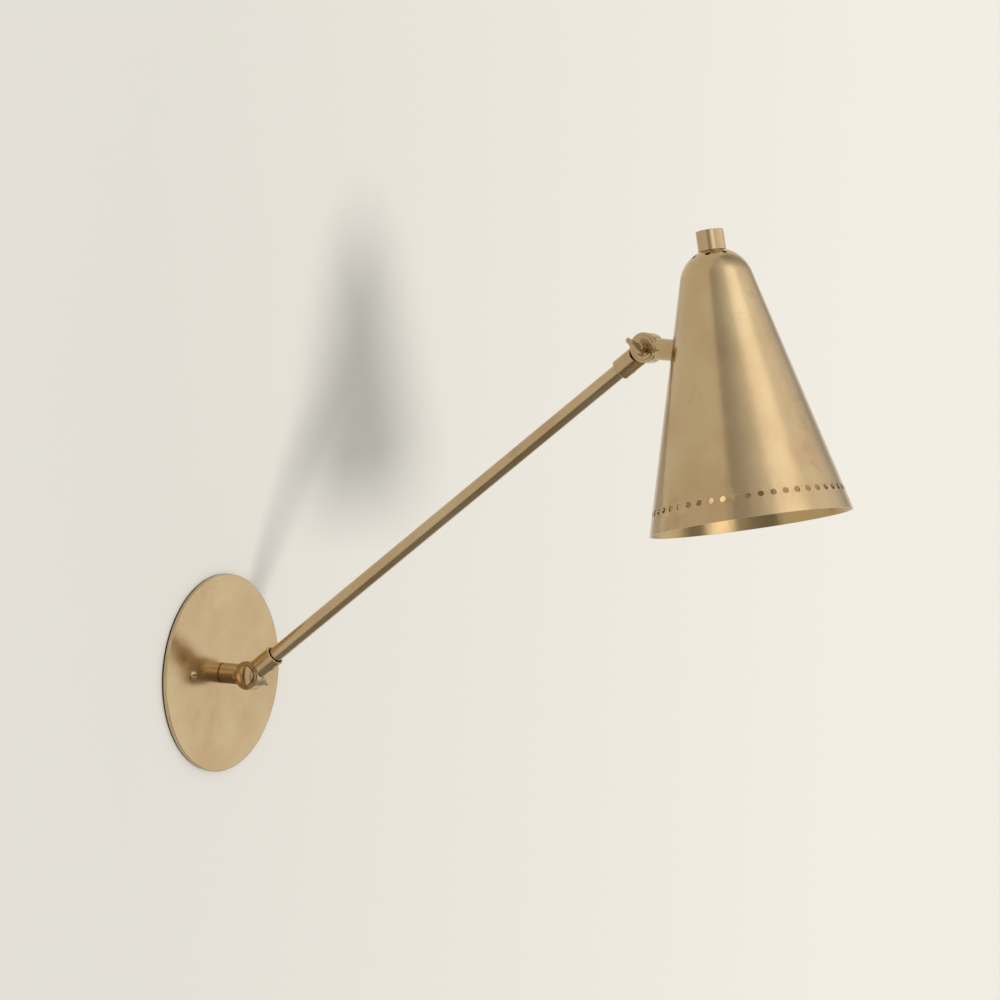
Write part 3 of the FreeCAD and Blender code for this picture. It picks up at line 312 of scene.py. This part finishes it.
def patches(tree, scale, detail=3.0, roughness=0.55):
    """Cloudy patches over the piece, from 0 to 1, with scale of them to the metre."""
    place = node(tree, "ShaderNodeTexCoord").outputs["Object"]
    noise = node(tree, "ShaderNodeTexNoise", Vector=place, Scale=scale, Detail=detail, Roughness=roughness)
    return noise.outputs["Fac"]


def grain(tree, shader, height, strength, edge=FINE_EDGE):
    """Raise the surface by a height pattern, and round its sharp edges by a small radius."""
    soft = node(tree, "ShaderNodeBevel", {"samples": EDGE_SAMPLES}, Radius=edge)
    bump = node(tree, "ShaderNodeBump", Strength=strength, Distance=GRAIN_DEPTH, Height=height,
                Normal=soft.outputs["Normal"])
    tree.links.new(bump.outputs["Normal"], shader.inputs["Normal"])


print("edges rounded by", FINE_EDGE * 1000, "mm")

# %% [markdown]
# Satin brass is the finish that shows. Hand-burnished and unlacquered, it is a warm pale gold with cloudy,
# slightly browner patches where it has been handled, and a few small brown stains. Three short functions
# paint it. The first lays the two tones and the stains. The second darkens inner corners to brown, partly
# as tarnish where a cloth doesn't reach and partly as painted shade, and finds them by how much each point
# is closed in. The third paints the inside of the shade darker and browner than the outside, as painted
# shade and painted reflection of the brass inside the cone, and finds it by whether a face looks away from
# the middle of the mouth or towards it.

# %% Colours of brass
STAIN = (0.34, 0.21, 0.10)
STAINS_PER_PATCH = 1.1
# Brown for inner corners: partly tarnish, partly painted shade.
TARNISH_AND_SHADE = (0.20, 0.115, 0.05)
# Darker, browner colour for the inside of the shade: painted shade and painted reflection.
PAINTED_SHADE_INSIDE = (0.49, 0.335, 0.155)
CORNER_SAMPLES = 8


def handled(tree, pale, deep, patch_size):
    """Two tones in clouds of patch_size metres, with a few stains."""
    cloud = patches(tree, 1 / patch_size, detail=4)
    tone = between(tree, cloud, 0.0, 1.0, start=0.32, end=0.68)
    spots = patches(tree, STAINS_PER_PATCH / patch_size, detail=6, roughness=0.7)
    stain = between(tree, spots, 0.0, 0.5, start=0.58, end=0.74)
    return blended(tree, stain, blended(tree, tone, pale, deep), STAIN)


def tarnish_and_painted_shade(tree, colour, crevice):
    """Tarnish and painted shade over a colour, where other metal closes a point in within the crevice
    distance.
    """
    # Painted shade and tarnish: the more closed in a point is, the darker it is painted.
    openness = node(tree, "ShaderNodeAmbientOcclusion", {"samples": CORNER_SAMPLES}, Distance=crevice)
    dark = between(tree, openness.outputs["AO"], 0.85, 0.0, start=0.25, end=0.85)
    return blended(tree, dark, colour, TARNISH_AND_SHADE)


def painted_shade_inside(tree, colour, mouth):
    """Painted shade and reflection over a colour, on the faces that look towards the middle of the mouth."""
    coordinates = node(tree, "ShaderNodeTexCoord").outputs
    from_mouth = reckon(tree, "ShaderNodeVectorMath", "SUBTRACT", coordinates["Object"], mouth)["Vector"]
    outward = reckon(tree, "ShaderNodeVectorMath", "DOT_PRODUCT", from_mouth, coordinates["Normal"])["Value"]
    # Painted shade: the faces inside the shade take the darker, browner colour.
    inside = between(tree, outward, 0.8, 0.0, start=-0.03, end=-0.01)
    return blended(tree, inside, colour, PAINTED_SHADE_INSIDE)


# The colour printed as tarnish is partly painted shade, and the one printed as smoke is painted shade and
# reflection.
print("stain", STAIN, "tarnish", TARNISH_AND_SHADE, "smoke", PAINTED_SHADE_INSIDE)

# %% [markdown]
# Now the brasses themselves. The metal's own colour does the work, so no paint-like layer is needed, and the
# polish varies from place to place as a hand leaves it. The cast knuckles, keys and screw heads have rounder
# edges and corners darkened by tarnish and painted shade. Raw brass, for nuts, set screws and the pieces
# round the switch, is yellower and duller.

# %% Brasses
RUBS_PER_PATCH = 3.2
BRASS_GRAINS = 900
SHADE_MOUTH = Vector((0, -0.377931, 0.115891))


def brass(name, pale, deep, dull, polish, patch_size, edge=FINE_EDGE, crevice=None, mouth=None):
    """Brass between two tones and two roughnesses. A crevice adds tarnish and painted shade, a mouth painted
    shade inside.
    """
    material, tree, shader = finish(name)
    shader.inputs["Metallic"].default_value = 1.0
    colour = handled(tree, pale, deep, patch_size)
    # Tarnish and painted shade in the corners.
    if crevice:
        colour = tarnish_and_painted_shade(tree, colour, crevice)
    # Painted shade and reflection on the inside of the shade.
    if mouth:
        colour = painted_shade_inside(tree, colour, mouth)
    tree.links.new(colour, shader.inputs["Base Color"])
    rub = patches(tree, RUBS_PER_PATCH / patch_size, detail=5, roughness=0.62)
    tree.links.new(between(tree, rub, polish, dull, start=0.3, end=0.7), shader.inputs["Roughness"])
    grain(tree, shader, patches(tree, BRASS_GRAINS, detail=2), strength=0.12, edge=edge)
    return material


SATIN = {"pale": (0.575, 0.440, 0.255), "deep": (0.510, 0.358, 0.196),
         "dull": 0.24, "polish": 0.16, "patch_size": 0.036}
satin_brass = brass("satin_brass", **SATIN)
# The shade's brass, with painted shade on its inside.
shade_brass = brass("shade_brass", **SATIN, mouth=SHADE_MOUTH)
# Cast brass: rounder edges, and corners painted darker with tarnish and painted shade.
cast_brass = brass("cast_brass", pale=(0.560, 0.415, 0.240), deep=(0.480, 0.335, 0.175),
                   dull=0.24, polish=0.15, patch_size=0.014, edge=0.0006, crevice=0.0022)
raw_brass = brass("raw_brass", pale=(0.62, 0.46, 0.25), deep=(0.52, 0.36, 0.17),
                  dull=0.36, polish=0.26, patch_size=0.012)
print("brasses:", [made.name for made in (satin_brass, shade_brass, cast_brass, raw_brass)])

# %% [markdown]
# The other finishes are on the working pieces, most of them hidden: zinc-plated steel, a green earth screw,
# the rubber gasket, dark fibre washers, black phenolic, glazed porcelain and the clear gold insulation of
# lamp leads. They fall into two families, plated and moulded, so two functions make them all.

# %% Working finishes
def plated(name, light_tone, dark_tone, dull, polish):
    """Plated steel with a fine mottle."""
    material, tree, shader = finish(name)
    shader.inputs["Metallic"].default_value = 1.0
    mottle = patches(tree, 260, detail=4)
    tree.links.new(blended(tree, mottle, light_tone, dark_tone), shader.inputs["Base Color"])
    tree.links.new(between(tree, mottle, polish, dull), shader.inputs["Roughness"])
    grain(tree, shader, patches(tree, 1500), strength=0.15)
    return material


def moulded(name, light_tone, dark_tone, dull, polish, scale=180, coat=0.0, gloss=0.5):
    """Plastic, rubber, fibre or porcelain: two close tones, a polish that varies and a fine grain."""
    material, tree, shader = finish(name)
    cloud = patches(tree, scale, detail=4)
    tree.links.new(blended(tree, cloud, light_tone, dark_tone), shader.inputs["Base Color"])
    tree.links.new(between(tree, cloud, polish, dull), shader.inputs["Roughness"])
    shader.inputs["Coat Weight"].default_value = coat
    shader.inputs["Specular IOR Level"].default_value = gloss
    grain(tree, shader, patches(tree, scale * 7), strength=0.2)
    return material


FINISHES = {
    "satin_brass": satin_brass,
    "raw_brass": raw_brass,
    "zinc_steel": plated("zinc_steel", (0.66, 0.66, 0.64), (0.52, 0.53, 0.54), dull=0.42, polish=0.28),
    "green_steel": plated("green_steel", (0.10, 0.42, 0.16), (0.06, 0.30, 0.12), dull=0.45, polish=0.3),
    "black_rubber": moulded("black_rubber", (0.018, 0.013, 0.010), (0.011, 0.008, 0.006),
                            dull=0.95, polish=0.8, gloss=0.15),
    "fibre": moulded("fibre", (0.17, 0.095, 0.055), (0.11, 0.06, 0.035),
                     dull=0.75, polish=0.55, scale=600),
    "black_plastic": moulded("black_plastic", (0.03, 0.029, 0.028), (0.018, 0.017, 0.017),
                             dull=0.42, polish=0.25),
    "white_ceramic": moulded("white_ceramic", (0.83, 0.80, 0.73), (0.78, 0.75, 0.68),
                             dull=0.2, polish=0.1, scale=90, coat=0.6),
    "clear_lead": moulded("clear_lead", (0.62, 0.50, 0.28), (0.54, 0.42, 0.22),
                          dull=0.4, polish=0.28, scale=300, coat=0.3),
}
print("finishes:", list(FINISHES))

# %% [markdown]
# The record says which finish each solid takes, so the solids are dressed in one loop. Where it says satin
# brass, the shade gets the kind with painted shade on its inside, and the cast pieces the kind with rounder
# edges and painted shade in their corners.

# %% Dress the solids
CAST_PIECES = {
    "stem", "lower_elbow", "upper_elbow", "shade_elbow", "lower_wing_key", "upper_wing_key",
    "lower_pivot_bolt", "upper_pivot_bolt", "mounting_screw_left", "mounting_screw_right",
}
own_finish = {"shade": shade_brass} | {name: cast_brass for name in CAST_PIECES}
slot_of = {part["node"]: part["material_slot"] for part in frame["record"]["subparts"]}
for name, piece in frame["nodes"].items():
    piece.data.materials.clear()
    piece.data.materials.append(own_finish.get(name, FINISHES[slot_of[name]]))
print("pieces of each finish:", {slot: list(slot_of.values()).count(slot) for slot in FINISHES})

# %% [markdown]
# The lamp screws into a thin brass shell whose thread is rolled, not cut: a shallow wave that shows on both
# faces of the sheet. It could be a coil laid round a tube, but the rolled sheet has no seam, so one pitch of
# the wave is wound up the axis instead, as a chain of edges that is spun and raised at the same time. The
# winding starts low and ends high, and two planes trim it square.

# %% Rolled thread
MM = 0.001
THREAD_PITCH = 3.63 * MM
THREAD_CREST = 13.55 * MM
THREAD_DEPTH = 0.55 * MM
THREAD_LOW = 78.45 * MM
THREAD_HIGH = 94.6 * MM
MERGE_DISTANCE = 0.02 * MM
STEPS = 64
WAVE_POINTS = 8


def edges_between(mesh, points):
    """A chain of edges through a few points of a profile in the XZ plane."""
    chain = [mesh.verts.new(point) for point in points]
    for first, second in zip(chain, chain[1:]):
        mesh.edges.new((first, second))


def wave(step):
    """A point of the wave, from one crest to the next, that starts two pitches under the thread."""
    share = step / WAVE_POINTS
    radius = THREAD_CREST - THREAD_DEPTH * (1 - math.cos(math.tau * share)) / 2
    return radius, 0, THREAD_LOW + THREAD_PITCH * (share - 2)


turns = math.ceil((THREAD_HIGH - THREAD_LOW) / THREAD_PITCH) + 2
shell = bmesh.new()
edges_between(shell, [wave(step) for step in range(WAVE_POINTS + 1)])
bmesh.ops.spin(shell, geom=shell.verts[:] + shell.edges[:], cent=(0, 0, 0), axis=(0, 0, 1),
               dvec=(0, 0, THREAD_PITCH / STEPS), angle=math.tau * turns, steps=STEPS * turns)
bmesh.ops.remove_doubles(shell, verts=shell.verts, dist=MERGE_DISTANCE)
for height, side in ((THREAD_LOW, -1), (THREAD_HIGH, 1)):
    everything = shell.verts[:] + shell.edges[:] + shell.faces[:]
    bmesh.ops.bisect_plane(shell, geom=everything, plane_co=(0, 0, height), plane_no=(0, 0, side),
                           clear_outer=True)
print("thread turns:", turns, "faces:", len(shell.faces))

# %% [markdown]
# Above the thread the shell steps in to a small cup, with a round window for the centre contact. The cup has
# no thread, so its outline is spun once round the axis, as it would be on a lathe, and joins the thread's
# mesh.

# %% Cup of the shell
CUP_OUTLINE_MM = ((13.45, 94.6), (13.45, 95.9), (10.95, 95.9), (10.95, 100.35), (6.6, 100.35))

cup = bmesh.new()
edges_between(cup, [(radius * MM, 0, height * MM) for radius, height in CUP_OUTLINE_MM])
bmesh.ops.spin(cup, geom=cup.verts[:] + cup.edges[:], cent=(0, 0, 0), axis=(0, 0, 1), angle=math.tau,
               steps=STEPS, use_merge=True)
cup_mesh = bpy.data.meshes.new("cup")
cup.to_mesh(cup_mesh)
cup.free()
shell.from_mesh(cup_mesh)
bpy.data.meshes.remove(cup_mesh)
print("faces with the cup:", len(shell.faces))

# %% [markdown]
# The finished shell leans with the shade, and its place goes into its mesh, so that the object itself stays
# at the origin. Its faces are turned outwards before a modifier gives the sheet its thickness inwards. The
# solid keeps a plain bore there, so the rolled shell takes its place in the picture and rides on the shade.

# %% Place of the shell
SHADE_LEAN = math.radians(11.861)
SHELL_SHEET = 0.3 * MM

shade_frame = Matrix.Translation(SHADE_MOUTH) @ Matrix.Rotation(-SHADE_LEAN, 4, "X")
bmesh.ops.recalc_face_normals(shell, faces=shell.faces)
bmesh.ops.transform(shell, matrix=shade_frame, verts=shell.verts)
for face in shell.faces:
    face.smooth = True
shell_mesh = bpy.data.meshes.new("lamp_shell_rolled")
shell.to_mesh(shell_mesh)
shell.free()
lamp_shell = bpy.data.objects.new("lamp_shell_rolled", shell_mesh)
bpy.context.scene.collection.objects.link(lamp_shell)
thickness = lamp_shell.modifiers.new("sheet", "SOLIDIFY")
thickness.thickness = SHELL_SHEET
thickness.offset = -1
lamp_shell.data.materials.append(raw_brass)
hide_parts("lamp_holder_shell")
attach(lamp_shell, "shade")
